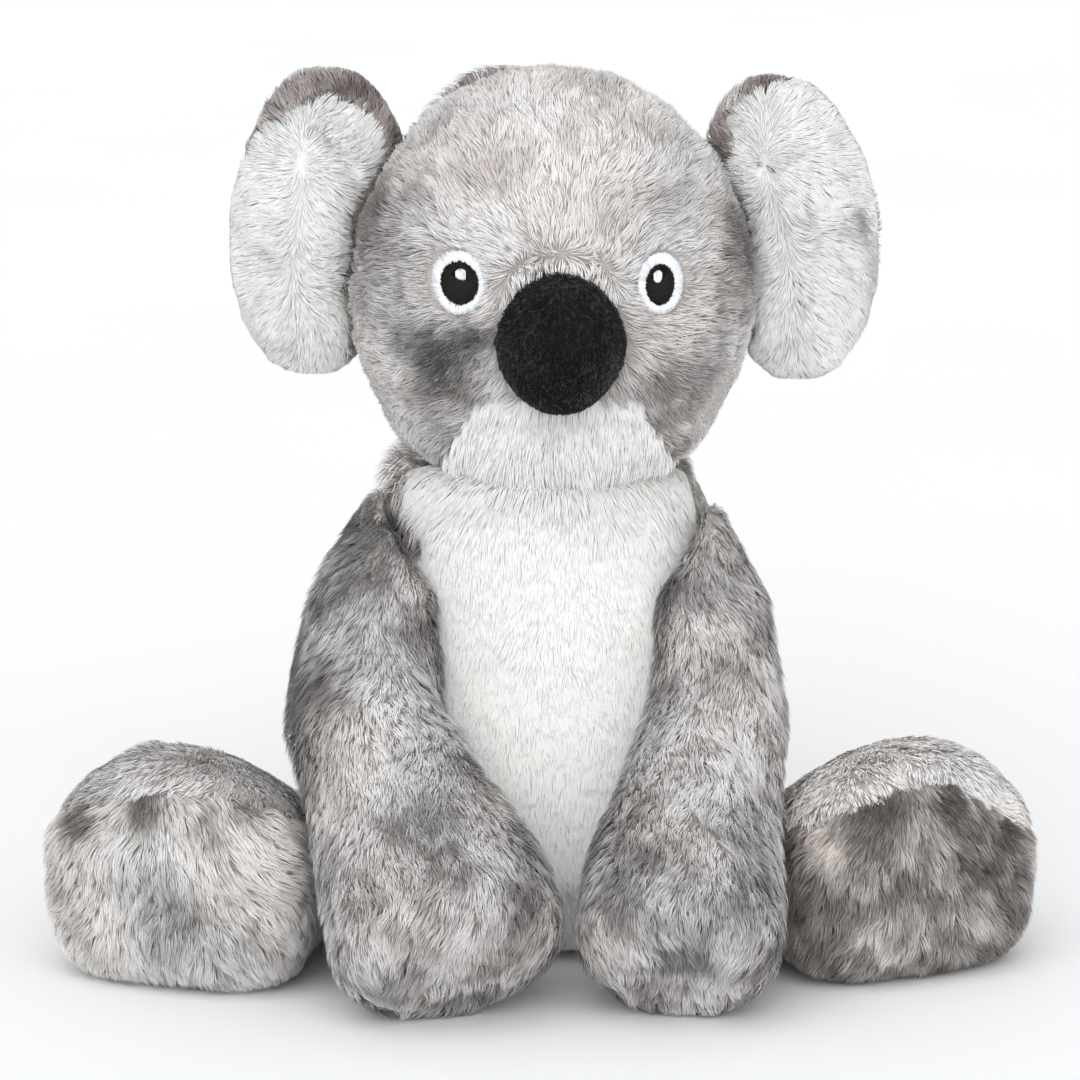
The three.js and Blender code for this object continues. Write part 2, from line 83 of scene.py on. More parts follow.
def set_camera():
    back = Vector((
        -math.sin(AZIMUTH) * math.cos(ELEVATION), -math.cos(AZIMUTH) * math.cos(ELEVATION), math.sin(ELEVATION),
    ))
    camera = bpy.data.objects.new("camera", bpy.data.cameras.new("camera"))
    scene.collection.objects.link(camera)
    camera.location = TARGET + back * DISTANCE
    camera.rotation_euler = (-back).to_track_quat("-Z", "Y").to_euler()
    camera.data.sensor_width = SENSOR_WIDTH
    camera.data.lens = SENSOR_WIDTH * DISTANCE / FRAME_WIDTH
    camera.data.clip_start = NEAREST
    scene.camera = camera
    scene.view_settings.view_transform = "Standard"


def linear(code):
    """An sRGB hex colour as Blender's linear colour."""
    parts = [int(code[i:i + 2], 16) / 255 for i in (1, 3, 5)]
    return tuple(c / 12.92 if c <= 0.04045 else ((c + 0.055) / 1.055) ** 2.4 for c in parts) + (1.0,)


def add_node(tree, kind, sockets=None, ramp=None, **settings):
    """Adds a node with its settings. A socket gets a value, or a link from another node's output."""
    node = tree.nodes.new("ShaderNode" + kind)
    for key, value in settings.items():
        setattr(node, key, value)
    for key, value in (sockets or {}).items():
        if isinstance(value, bpy.types.NodeSocket):
            tree.links.new(value, node.inputs[key])
        else:
            node.inputs[key].default_value = value
    if ramp:
        stops = node.color_ramp.elements
        while len(stops) < len(ramp):
            stops.new(0.5)
        for stop, (place, code) in zip(stops, ramp):
            stop.position = place
            stop.color = linear(code)
    return node


def new_material(name):
    material = bpy.data.materials.new(name)
    material.use_nodes = True
    material.node_tree.nodes.clear()
    return material, material.node_tree


def set_studio():
    """White all round: the backdrop is white to the camera, and it lights the koala a little less."""
    world = bpy.data.worlds.new("studio")
    scene.world = world
    world.use_nodes = True
    tree = world.node_tree
    tree.nodes.clear()
    path = add_node(tree, "LightPath")
    seen = add_node(tree, "Math", {
        0: path.outputs["Is Camera Ray"], 1: path.outputs["Is Glossy Ray"],
    }, operation="MAXIMUM")
    light = add_node(tree, "Background", {"Color": linear("#f6f8fb"), "Strength": WORLD_LIGHT})
    white = add_node(tree, "Background", {"Color": linear("#ffffff"), "Strength": 1.0})
    both = add_node(tree, "MixShader", {0: seen.outputs[0], 1: light.outputs[0], 2: white.outputs[0]})
    add_node(tree, "OutputWorld", {"Surface": both.outputs[0]})

    for name, (strength, spread, turn) in LAMPS.items():
        lamp = bpy.data.lights.new(name, "SUN")
        lamp.energy = strength
        lamp.angle = math.radians(spread)
        holder = bpy.data.objects.new(name, lamp)
        holder.rotation_euler = [math.radians(a) for a in turn]
        scene.collection.objects.link(holder)

    material, tree = new_material("white paper sweep, matt")
    grain = add_node(tree, "TexNoise", {"Scale": 40.0, "Detail": 3.0})
    tone = add_node(tree, "ValToRGB", {0: grain.outputs["Fac"]}, ramp=[(0.3, "#f9f9f9"), (0.7, "#fbfbfb")])
    paper = add_node(tree, "BsdfPrincipled", {
        "Base Color": tone.outputs[0], "Roughness": 0.9, "Specular IOR Level": 0.1,
    })
    add_node(tree, "OutputMaterial", {"Surface": paper.outputs[0]})
    bpy.ops.object.select_all(action="DESELECT")
    bpy.ops.mesh.primitive_plane_add(size=FLOOR_SIDE, location=(0, 0, 0))
    floor = bpy.context.active_object
    floor.name = "floor"
    floor.data.materials.append(material)


# Materials

# Cool and warm washes of dye, and how much darker a frosted fibre is at its root than at its tip
TINTS = [(0.0, "#d3dade"), (0.4, "#f9f9fa"), (0.65, "#fdfbf9"), (1.0, "#f6ede9")]
FROSTED = [(0.0, "#aaa5a2"), (0.3, "#dedbd9"), (0.6, "#fafafa"), (1.0, "#ffffff")]
FIBRE_IOR = 1.5  # acrylic, polyester and viscose alike


def pile_material(name, coat, depth=FROSTED, tints=TINTS, roughness=0.7, sheen=0.25, gloss=0.35):
    """Pile dyed in patches: the coat's colour by tone, darker at the root by depth, washed by the tints.
    The tone also carries painted shade in a few patches and holes, and painted light in one patch.
    """
    material, tree = new_material(name)
    dyes = []
    for key, ramp in (("tone", coat), ("along", depth), ("tint", tints)):
        value = add_node(tree, "Attribute", attribute_name=key)
        dyes.append(add_node(tree, "ValToRGB", {0: value.outputs["Fac"]}, ramp=ramp))
    colour = dyes[0].outputs[0]
    for dye in dyes[1:]:
        # a mix has its share in socket 0, its colours in 6 and 7 and its result in output 2
        colour = add_node(tree, "Mix", {
            0: 1.0, 6: colour, 7: dye.outputs[0],
        }, data_type="RGBA", blend_type="MULTIPLY").outputs[2]
    fibre = add_node(tree, "BsdfPrincipled", {
        "Base Color": colour, "Roughness": roughness, "IOR": FIBRE_IOR,
        "Specular IOR Level": gloss, "Sheen Weight": sheen, "Sheen Roughness": 0.45,
    })
    add_node(tree, "OutputMaterial", {"Surface": fibre.outputs[0]})
    return material


def cloth_material(name, ramp, noise, relief, surface, row=None, by_stitch=False):
    """Cloth or fibre whose colour and relief come from one noise, or the relief from knitted rows,
    or the colour from each stitch. Its lengths are in metres."""
    material, tree = new_material(name)
    place = add_node(tree, "TexCoord").outputs["Object"]
    scale, detail, roughness = noise
    shade = height = add_node(tree, "TexNoise", {
        "Vector": place, "Scale": scale, "Detail": detail, "Roughness": roughness,
    }).outputs["Fac"]
    if row:
        height = add_node(tree, "TexWave", {
            "Vector": place, "Scale": 1 / row, "Distortion": 2.0, "Detail": 1.0,
        }, bands_direction="Z").outputs["Fac"]
    if by_stitch:
        shade = add_node(tree, "Attribute", attribute_name="stitch").outputs["Fac"]
    colour = add_node(tree, "ValToRGB", {0: shade}, ramp=ramp)
    strength, depth = relief
    bump = add_node(tree, "Bump", {"Height": height, "Strength": strength, "Distance": depth})
    fibre = add_node(tree, "BsdfPrincipled", {
        "Base Color": colour.outputs[0], "Normal": bump.outputs[0], "IOR": FIBRE_IOR, **surface,
    })
    add_node(tree, "OutputMaterial", {"Surface": fibre.outputs[0]})
    return material


PILES = {
    # tip-dyed acrylic faux fur: mottled greys with frosted tips, dark down at the root, soft and
    # hardly glossy
    "grey_pile": pile_material(
        "acrylic faux fur, mottled grey, tip dyed",
        [(0.0, "#555251"), (0.3, "#989492"), (0.6, "#e2dfdd"), (0.85, "#fcfbfa")],
    ),
    # the same fur dyed darker for the backs of the head and the ears: a brownish grey
    "dark_pile": pile_material(
        "acrylic faux fur, brown grey", [(0.0, "#4d4443"), (0.4, "#8f8582"), (0.75, "#bdb5b2"), (1.0, "#ece8e5")],
    ),
    # the feet's soles: the same fur left long, a creamier grey with brown between its tufts
    "sole_pile": pile_material(
        "acrylic faux fur, cream grey, tip dyed",
        [(0.0, "#5c5653"), (0.3, "#9c9692"), (0.6, "#e4e1dd"), (0.85, "#fdfbf8")],
    ),
    # bleached polyester plush: snow white, dense and velvety, grey only where dark flecks show
    # and where painted shade greys it low on the belly, near the floor
    "white_pile": pile_material(
        "polyester plush, bleached white", [(0.0, "#857f7c"), (0.22, "#d6d7d5"), (0.5, "#f9f9f8"), (0.8, "#fafaf9")],
        [(0.0, "#f0f0ef"), (0.4, "#fdfdfd"), (1.0, "#ffffff")], [(0.0, "#f3f6f6"), (1.0, "#fdfbf8")], roughness=0.75,
        sheen=0.3,
    ),
    # short black velboa on the nose: it drinks the light, with a faint grey bloom where its
    # fibres lean away
    "black_plush": pile_material(
        "polyester velboa, black", [(0.0, "#080707"), (0.6, "#100f0e"), (1.0, "#1f1d1b")],
        [(0.0, "#9a9a9a"), (1.0, "#ffffff")], [(0.0, "#f0f3f8"), (1.0, "#ffffff")], roughness=0.8, sheen=0.12,
        gloss=0.15,
    ),
}
# The knitted cloth under the pile: rows of loops 1.6 mm high, or 1 mm under the nose's velboa,
# mottled with the dye that went through
BACKINGS = {
    slot: cloth_material(
        "knitted backing, " + shade, [(0.3, dark), (0.7, light)], (90.0, 4.0, 0.6), (0.4, 0.0004),
        {"Roughness": 0.9, "Sheen Weight": 0.3, "Sheen Roughness": 0.5}, row=row,
    )
    for slot, shade, dark, light, row in (
        ("grey_pile", "grey", "#a39d99", "#c5c0bc", 0.0016), ("dark_pile", "brown grey", "#766d6a", "#958c88", 0.0016),
        ("sole_pile", "cream grey", "#a39c96", "#c9c3bd", 0.0016),
        ("white_pile", "white", "#ececea", "#fbfbfa", 0.0016), ("black_plush", "black", "#0d0d0f", "#17171a", 0.001),
    )
}
# Satin stitch thread of viscose, its filaments of 0.05 mm drawn 0.3 mm wide to show: a bluish white
# that is bright along each stitch, and a brown that is nearly black
THREADS = {
    slot: cloth_material(
        "viscose embroidery thread, " + shade, [(0.0, dark), (1.0, light)],
        (3300.0, 1.0, 0.5), (0.35, 0.0001), {
            "Roughness": roughness, "Specular IOR Level": gloss, "Sheen Weight": 0.08, "Sheen Roughness": 0.3,
        }, by_stitch=True,
    )
    for slot, shade, dark, light, roughness, gloss in (
        ("white_thread", "white", "#dde2e8", "#ffffff", 0.4, 0.5),
        ("dark_thread", "black brown", "#0a0807", "#1a1613", 0.55, 0.2),
    )
}
# matt white crimped fibres, carded into loose balls of about 8 mm
FIBREFILL = cloth_material(
    "polyester fibrefill, carded", [(0.3, "#dcdcd8"), (0.7, "#f6f6f3")], (120.0, 8.0, 0.7), (0.8, 0.002),
    {"Roughness": 0.95, "Sheen Weight": 0.4, "Sheen Roughness": 0.6},
)


# Shapes


def unit(vectors):
    return vectors / np.maximum(np.linalg.norm(vectors, axis=-1, keepdims=True), 1e-9)


def smooth_step(value, low, high):
    share = np.clip((value - low) / (high - low), 0, 1)
    return share * share * (3 - 2 * share)


def nearness(points, at, radius):
    """From 1 at a place to nearly 0 at twice the radius from it."""
    return np.exp(-((points - np.array(at)) ** 2).sum(1) / radius ** 2)


def drift(points, size, seed):
    """A smooth random field, mostly from -1 to 1, whose patches are about size mm across."""
    rng = np.random.default_rng(seed)
    waves = unit(rng.normal(size=(16, 3))) * (math.pi / size) * rng.uniform(0.7, 1.4, (16, 1))
    return np.clip(np.sin(points @ waves.T + rng.uniform(0, 6.28, 16)).sum(1) / 3.6, -1.2, 1.2)


def points_of(mesh):
    flat = np.empty(len(mesh.vertices) * 3)
    mesh.vertices.foreach_get("co", flat)
    return flat.reshape(-1, 3) / MM


def normals_of(mesh):
    flat = np.empty(len(mesh.vertices) * 3)
    mesh.vertex_normals.foreach_get("vector", flat)
    return flat.reshape(-1, 3)


def quads_of(mesh):
    flat = np.empty(len(mesh.loops), dtype=int)
    mesh.loops.foreach_get("vertex_index", flat)
    return flat.reshape(-1, 4)


def set_points(mesh, points):
    mesh.vertices.foreach_set("co", (points * MM).ravel())
    mesh.update()


def add_piece(name, mesh):
    piece = bpy.data.objects.new(name, mesh)
    scene.collection.objects.link(piece)
    return piece


def select_only(*pieces):
    """Selects these pieces alone, the last of them active."""
    bpy.ops.object.select_all(action="DESELECT")
    for piece in pieces:
        piece.select_set(True)
    bpy.context.view_layer.objects.active = pieces[-1]


def face_outwards():
    """Shades the active piece smooth, and turns its faces outwards."""
    bpy.ops.object.shade_smooth()
    bpy.ops.object.mode_set(mode="EDIT")
    bpy.ops.mesh.select_all(action="SELECT")
    bpy.ops.mesh.normals_make_consistent(inside=False)
    bpy.ops.object.mode_set(mode="OBJECT")


def solid_of(names):
    """What a ray or a nearest point meets of some CAD nodes."""
    corners, faces = [], []
    for name in names:
        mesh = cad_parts[name].data
        faces += [[i + len(corners) for i in face.vertices] for face in mesh.polygons]
        corners += [v.co / MM for v in mesh.vertices]
    return BVHTree.FromPolygons(corners, faces)


def closed_form(name, nodes, voxel):
    """The nodes of one pocket as one closed form of even quads, with its facets eased round."""
    forms = [add_piece(name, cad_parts[node].data.copy()) for node in nodes]
    for form in forms:
        form.data.materials.clear()
    select_only(*forms)
    bpy.ops.object.join()
    bpy.ops.object.mode_set(mode="EDIT")
    bpy.ops.mesh.select_all(action="SELECT")
    bpy.ops.mesh.remove_doubles(threshold=WELD * MM)
    bpy.ops.object.mode_set(mode="OBJECT")
    form = forms[-1]
    remesh = form.modifiers.new("even cloth", "REMESH")
    remesh.mode = "VOXEL"
    remesh.voxel_size = voxel * MM
    ease = form.modifiers.new("eased facets", "SMOOTH")
    ease.factor = 0.5
    ease.iterations = EASE_ROUNDS
    bpy.ops.object.modifier_apply(modifier="even cloth")
    bpy.ops.object.modifier_apply(modifier="eased facets")
    return form


def fill_form(form, held, most):
    """Fills the pocket with Cloth under air pressure. No point goes further than its most, and the
    seams are held."""
    empty = points_of(form.data)
    group = form.vertex_groups.new(name="seams")
    group.add([int(i) for i in held], 1.0, "REPLACE")
    cloth = form.modifiers.new("filling", "CLOTH")
    cloth.settings.vertex_group_mass = "seams"
    cloth.settings.use_pressure = True
    cloth.settings.uniform_pressure_force = AIR_PRESSURE
    cloth.settings.effector_weights.gravity = 0
    cloth.point_cache.frame_end = FILLING_FRAMES
    for step in range(1, FILLING_FRAMES + 1):
        scene.frame_set(step)
    filled = form.evaluated_get(bpy.context.evaluated_depsgraph_get()).data
    moves = points_of(filled) - empty
    form.modifiers.clear()
    form.vertex_groups.clear()
    scene.frame_set(1)
    far = np.linalg.norm(moves, axis=1, keepdims=True)
    moves *= np.minimum(1, most[:, None] / np.maximum(far, 1e-6))
    full = empty + moves
    full[:, 2] = np.maximum(full[:, 2], FLOOR_GAP)
    set_points(form.data, full)


def room_over(points, normals, neighbours):
    """How far each point can go along its normal before it meets a neighbour, in whole mm."""
    room = np.full(len(points), PILE_REACH, dtype=int)
    for i in range(len(points)):
        start = Vector(points[i] - normals[i] * START_DEPTH)
        hit = neighbours.ray_cast(start, Vector(normals[i]), PILE_REACH + START_DEPTH)
        if hit[0] is not None:
            room[i] = max(hit[3] - START_DEPTH, 0)
    return room


def press(points, normals, line, depth, width):
    """Presses a crease into the cloth along a line of points."""
    best = np.full(len(points), 1e9)
    for a, b in zip(np.array(line[:-1], float), np.array(line[1:], float)):
        share = np.clip(((points - a) @ (b - a)) / ((b - a) @ (b - a)), 0, 1)
        best = np.minimum(best, np.linalg.norm(points - a - share[:, None] * (b - a), axis=1))
    return points - normals * (depth * np.exp(-(best / width) ** 2))[:, None]


def cut_panel(name, form, quads):
    """One panel of cloth: the form's quads that lie on it, given their thickness inwards."""
    used, places = np.unique(quads, return_inverse=True)
    mesh = bpy.data.meshes.new(name)
    corners = points_of(form.data)[used] * MM
    mesh.from_pydata(corners.tolist(), [], places.reshape(-1, 4).tolist())
    panel = add_piece(name, mesh)
    select_only(panel)
    bpy.ops.object.shade_smooth()
    wall = panel.modifiers.new("cloth", "SOLIDIFY")
    wall.thickness = CLOTH_THICKNESS * MM
    wall.offset = -1
    bpy.ops.object.modifier_apply(modifier="cloth")
    return panel


# Pile

# A pile's length, width, and loft, which is how high it rises, are in mm, and its lift and swirl in
# degrees. over is how far it may stand over a neighbour, sleek and glow how far a fibre is shaded
# like the cloth and like its lit neighbours. A patch is a place, a radius, and how much darker and
# warmer it is. A spot of fluff is a place, a radius, and how much longer and steeper it is.
USUAL_PILE = dict(over=2.0, per_tuft=26, stray=1.0, sleek=0.75, glow=0.0, trim=None, holes=(), patches=(), fluff=())
# Real fibres of 0.05 mm are too fine to show. Each ribbon stands for several, 0.3 to 0.5 mm wide.
WAIST = 0.9
MIDDLE_ALONG = 0.55
ROOT_DEPTH = 0.4
ROOT_FLOOR_GAP, FIBRE_FLOOR_GAP = 0.1, 0.3
LENGTHS = (0.72, 0.4)  # the shortest fibre's share of the length, and how much more the longest has
WIDTHS = (0.7, 0.6)
GATHERS = (0.6, 0.4)
LEAST_LIFT, MOST_LIFT = 4, 80
FLATTEST = 0.03
MOST_BEND, BEND_BY_LIFT = 0.3, 0.8
MIDDLE_GATHER, MIDDLE_APART, TIP_APART = 0.45, 0.5, 0.15
MIDDLE_LOFT, LEAST_LOFT = 0.75, 0.4
ROLL = 1.4
# How much a tuft and a fibre differ from the rest, the turn and lift in degrees
TUFT = dict(turn=9, lift=5, length=0.06, tone=0.04)
FIBRE = dict(turn=6, lift=4, tone=0.07)
# How the pile drifts: the size of its patches, how much it changes there, and their seed
DRIFTS = {
    "turn": ((20, 1.0, 0), (7, 0.5, 1)), "length": ((14, 0.14, 2),), "lift": ((16, 5, 3),),
    "tone": ((15, 0.7, 4), (6, 0.45, 5)), "tint": ((26, 0.15, 6),),
}
BARE = 0.05  # the least share of its length that a fibre is clipped to
FREE_BY_LIFT = 0.15  # room that steeper fluff makes, to the degree
CROWDED, UNCROWDED, LEAST_GROWN = -2, 4, 0.1  # fewer fibres grow where a neighbour is this near
UNDERSIDE, FACING_DOWN, FLOOR_SHARE = 1.5, -0.6, 0.3  # and fewer still where the floor presses
# a stitch hole's radius, how much of its pile is trimmed, and the painted shade that darkens its pit
HOLE_RADIUS, HOLE_TRIM, HOLE_PAINTED_SHADE = 0.7, 0.7, 0.5
# White fibres pass light on to each other, so their shading leans to the light by their glow.
TO_LIGHT = np.array([-0.2, -0.65, 0.7])


def set_roots(form, quads, room, pile, rng):
    """Where the fibres grow: the root, normal, room, share of the length, and rise of each."""
    corners = points_of(form.data)
    facing = normals_of(form.data)
    a, b, c, d = (corners[quads[:, i]] for i in range(4))
    area = 0.5 * np.linalg.norm(np.cross(c - a, d - b), axis=1)
    count = int(area.sum() * pile["density"])
    on = rng.choice(len(quads), count, p=area / area.sum())
    u, v = rng.random((2, count, 1))

    def spread(values):
        w, x, y, z = (values[quads[on, i]] for i in range(4))
        return (1 - u) * (1 - v) * w + u * (1 - v) * x + u * v * y + (1 - u) * v * z

    root, normal, free = spread(corners), unit(spread(facing)), spread(room[:, None])[:, 0]
    trim = pile["trim"](root) if pile["trim"] else np.ones(count)
    rise = np.zeros(count)
    for at, radius, longer, steeper in pile["fluff"]:
        near = nearness(root, at, radius)
        trim = trim * (1 + longer * near)
        rise += steeper * near
        free = free + FREE_BY_LIFT * max(steeper, 0) * near
    grown = smooth_step(free, CROWDED, UNCROWDED) + LEAST_GROWN
    kept = (trim > BARE) & (rng.random(count) < grown)
    pressed = (root[:, 2] < UNDERSIDE) & (normal[:, 2] < FACING_DOWN)
    kept &= ~(pressed & (rng.random(count) > FLOOR_SHARE))
    return [values[kept] for values in (root, normal, free, trim, rise)]


def ribbons(name, corners, soft, tone, tint):
    """A mesh of ribbons, each a quad and a triangle with five corners, shaded softly."""
    count = len(corners)
    numbers = np.arange(count)
    mesh = bpy.data.meshes.new(name)
    mesh.vertices.add(count * 5)
    mesh.vertices.foreach_set("co", (corners * MM).ravel())
    mesh.loops.add(count * 7)
    loops = numbers[:, None] * 5 + np.array([0, 1, 3, 2, 2, 3, 4])
    mesh.loops.foreach_set("vertex_index", loops.ravel())
    mesh.polygons.add(count * 2)
    mesh.polygons.foreach_set("loop_start", (numbers[:, None] * 7 + np.array([0, 4])).ravel())
    across = math.ceil(math.sqrt(count))
    cells = np.stack([numbers % across, numbers // across], axis=1)
    in_cell = np.array([[0.1, 0.1], [0.9, 0.1], [0.9, 0.5], [0.1, 0.5], [0.1, 0.5], [0.9, 0.5], [0.5, 0.9]])
    baked = mesh.uv_layers.new(name="OFBake")
    baked.uv.foreach_set("vector", ((cells[:, None, :] + in_cell) / across).ravel())
    for key, values in (
        ("along", np.tile([0.0, 0.0, MIDDLE_ALONG, MIDDLE_ALONG, 1.0], count)),
        ("tone", np.repeat(np.clip(tone, 0, 1), 5)), ("tint", np.repeat(np.clip(tint, 0, 1), 5)),
    ):
        attribute = mesh.attributes.new(key, "FLOAT", "POINT")
        attribute.data.foreach_set("value", values.astype(np.float32))
    mesh.update(calc_edges=True)
    mesh.polygons.foreach_set("use_smooth", np.ones(count * 2, dtype=bool))
    mesh.normals_split_custom_set_from_vertices(np.repeat(soft, 5, axis=0))
    return mesh


def grow_pile(name, form, quads, room, cloth, pile):
    """Pile on one panel: its fibres lean the way it was combed, lie in tufts, rise no higher than
    its loft over the cloth, and lie flat where a neighbour presses on them."""
    rng = np.random.default_rng(pile["seed"])
    root, normal, free, trim, rise = set_roots(form, quads, room, pile, rng)
    count = len(root)
    leaders = rng.choice(count, max(count // pile["per_tuft"], 1), replace=False)
    tree = KDTree(len(leaders))
    for i, at in enumerate(root[leaders].tolist()):
        tree.insert(at, i)
    tree.balance()
    tuft = np.array([tree.find(at)[1] for at in root.tolist()])
    own, leader = rng.normal(size=(3, len(leaders)))[:, tuft], leaders[tuft]
    holes = [(np.hypot(root[:, 0] - x, root[:, 2] - z) < HOLE_RADIUS) & (normal[:, 1] < -0.2) for x, z in pile["holes"]]

    def drifting(key):
        return sum(share * drift(root, size, pile["seed"] + seed) for size, share, seed in DRIFTS[key])

    combed = pile["comb"](root)
    combed = unit(combed - normal * (combed * normal).sum(1, keepdims=True))
    strays = TUFT["turn"] * own[0] + FIBRE["turn"] * rng.normal(size=count)
    turn = np.radians(pile["swirl"] * drifting("turn") + pile["stray"] * strays)[:, None]
    combed = combed * np.cos(turn) + np.cross(normal, combed) * np.sin(turn)
    for hole in holes:
        trim = trim * (1 - HOLE_TRIM * hole)
    length = pile["length"] * trim * (LENGTHS[0] + LENGTHS[1] * rng.random(count))
    length = length * (1 + drifting("length") + TUFT["length"] * own[1])
    strays = TUFT["lift"] * own[2] + FIBRE["lift"] * rng.normal(size=count) + drifting("lift")
    lift = pile["lift"] + rise + pile["stray"] * strays
    steepest = np.arcsin(np.clip((free + pile["over"]) / length, FLATTEST, 1))
    lift = np.minimum(np.radians(np.clip(lift, LEAST_LIFT, MOST_LIFT)), steepest)

    def step(angle):
        way = combed * np.cos(angle)[:, None] + normal * np.sin(angle)[:, None]
        return way * (length * 0.5)[:, None]

    bend = np.minimum(MOST_BEND, lift * BEND_BY_LIFT)
    base = root - normal * ROOT_DEPTH
    base[:, 2] = np.maximum(base[:, 2], ROOT_FLOOR_GAP)
    middle = base + step(lift + bend)
    tip = middle + step(lift - bend)
    gather = pile["clump"] * (GATHERS[0] + GATHERS[1] * rng.random((count, 1)))
    apart = root - root[leader]
    middle = (middle * (1 - gather * MIDDLE_GATHER) + (middle[leader] + apart * MIDDLE_APART) * gather * MIDDLE_GATHER)
    tip = tip * (1 - gather) + (tip[leader] + apart * TIP_APART) * gather
    loft = pile["loft"] * np.maximum(trim, LEAST_LOFT)
    for place, share in ((middle, MIDDLE_LOFT), (tip, 1.0)):
        for i, at in enumerate(place.tolist()):
            near, _, _, far = cloth.find_nearest(at)
            if far > loft[i] * share:
                place[i] = near + (Vector(at) - near) * (loft[i] * share / far)
        place[:, 2] = np.maximum(place[:, 2], FIBRE_FLOOR_GAP)

    way = unit(tip - root)
    side = unit(np.cross(way, normal))
    roll = rng.normal(size=(count, 1)) * ROLL * (1 - pile["sleek"])
    face = unit(np.cross(side, way))
    side, face = (side * np.cos(roll) + face * np.sin(roll), face * np.cos(roll) - side * np.sin(roll))
    half = (pile["width"] * (WIDTHS[0] + WIDTHS[1] * rng.random((count, 1)))) / 2
    corners = np.stack([
        base - side * half, base + side * half, middle - side * half * WAIST, middle + side * half * WAIST, tip,
    ], axis=1)
    soft = unit(normal * pile["sleek"] + face * (1 - pile["sleek"]))
    soft = unit(soft + TO_LIGHT * pile["glow"])

    tone = pile["tone"] + pile["mottle"] * drifting("tone")
    tone = tone + TUFT["tone"] * own[1] + FIBRE["tone"] * rng.normal(size=count)
    tint = pile["tint"] + drifting("tint")
    # most patches are dye, some are painted shade, and one on the neck is painted light
    for at, radius, darker, warmer in pile["patches"]:
        near = nearness(root, at, radius)
        tone += darker * near
        tint += warmer * near
    # painted shade in the pits of the stitch holes
    for hole in holes:
        tone -= HOLE_PAINTED_SHADE * hole
    return add_piece(name, ribbons(name, corners, soft, tone, tint))


# How the pile is combed and clipped

# Each eye in the front view: its middle, the half widths and heights of the ring and of the dark
# fill, where the highlight sits and its half width, how short the pile on its left was clipped,
# and the seed of its stitches
EYES = {
    "left": dict(x=-36.0, z=256.6, ring=(10.1, 11.5), fill=(6.7, 7.6), spot=(0.5, 3.2, 1.75), left_share=0.5, seed=131),
    "right": dict(x=36.0, z=255.6, ring=(8.7, 11.4), fill=(5.3, 7.3), spot=(-0.9, 3.0, 1.4), left_share=0.65, seed=141),
}
RIGHT_SHARE = 0.5
CLIPPED_OUT_TO = 1.35  # in sizes of the eye's ring
FLATTENED_ROUND_EYE = (12, 20)  # how near an eye's middle the face swells less
# The nose in the front view: its height, and the half widths and heights under it and of its rim
NOSE_Z = 236.5
UNDER_NOSE = (22.5, 25.5)
NOSE_RIM = (25, 28)
NOSE_ROOT = (0, -66, 250)


def away_from(x, y, z, fall=0.0):
    """Combed away from a point, and falling by a share of it."""
    def comb(points):
        return unit(points - np.array([x, y, z])) + np.array([0, 0, -fall])
    return comb


def eye_and_nose_room(points):
    """The face's pile is clipped round the eyes, and there is none under the eyes and the nose."""
    longest = np.ones(len(points))
    x, z = points[:, 0], points[:, 2]
    front = points[:, 1] < FRONT_Y
    for eye in EYES.values():
        ring = np.hypot((x - eye["x"]) / eye["ring"][0], (z - eye["z"]) / eye["ring"][1])
        least = np.where(x < eye["x"], eye["left_share"], RIGHT_SHARE)
        clipped = smooth_step(ring, 1.0, CLIPPED_OUT_TO) * (1 - least) + least
        length = np.where(ring > 1, np.minimum(longest, clipped), 0)
        longest = np.where(front, length, longest)
    nose = np.hypot(x / UNDER_NOSE[0], (z - NOSE_Z) / UNDER_NOSE[1])
    return np.where(front & (nose < 1), 0, longest)


def belly_comb(points):
    """The belly is combed down, and outwards over the shoulders at its top corners."""
    top = smooth_step(points[:, 2], 150, 175)
    return np.stack([(0.004 + 0.02 * top) * points[:, 0], -0.1 - 0.2 * top, -1 + 0.3 * top], axis=1)


def face_comb(points):
    """The face is combed away from the nose's root, and a fringe above the nose falls over it."""
    rim = np.hypot(points[:, 0] / NOSE_RIM[0], (points[:, 2] - NOSE_Z) / NOSE_RIM[1])
    fringe = ((1 - smooth_step(rim, 1.0, 1.25)) * smooth_step(points[:, 2], 246, 256))[:, None]
    up = unit(points - np.array(NOSE_ROOT))
    down = np.array([0, -0.5, -0.8])
    aside = np.sin(points[:, :1] / 3) * [1.0, 0, 0]
    return up * (1 - fringe) + down * fringe + aside * fringe * (1 - fringe) * 2


def parted_ear(parting):
    """An ear's lining is combed away from a parting that runs down it, up at its upper end and
    down at its lower end."""
    def comb(points):
        z = points[:, 2]
        middle = np.interp(z, [z for _, z in parting], [x for x, _ in parting])
        aside = np.tanh((points[:, 0] - middle) / 5)
        up = smooth_step(z, 280, 306) - 0.35 - 1.3 * smooth_step(-z, -248, -222)
        return np.stack([aside, np.full(len(points), -0.1), up], axis=1)
    return comb


# Pockets

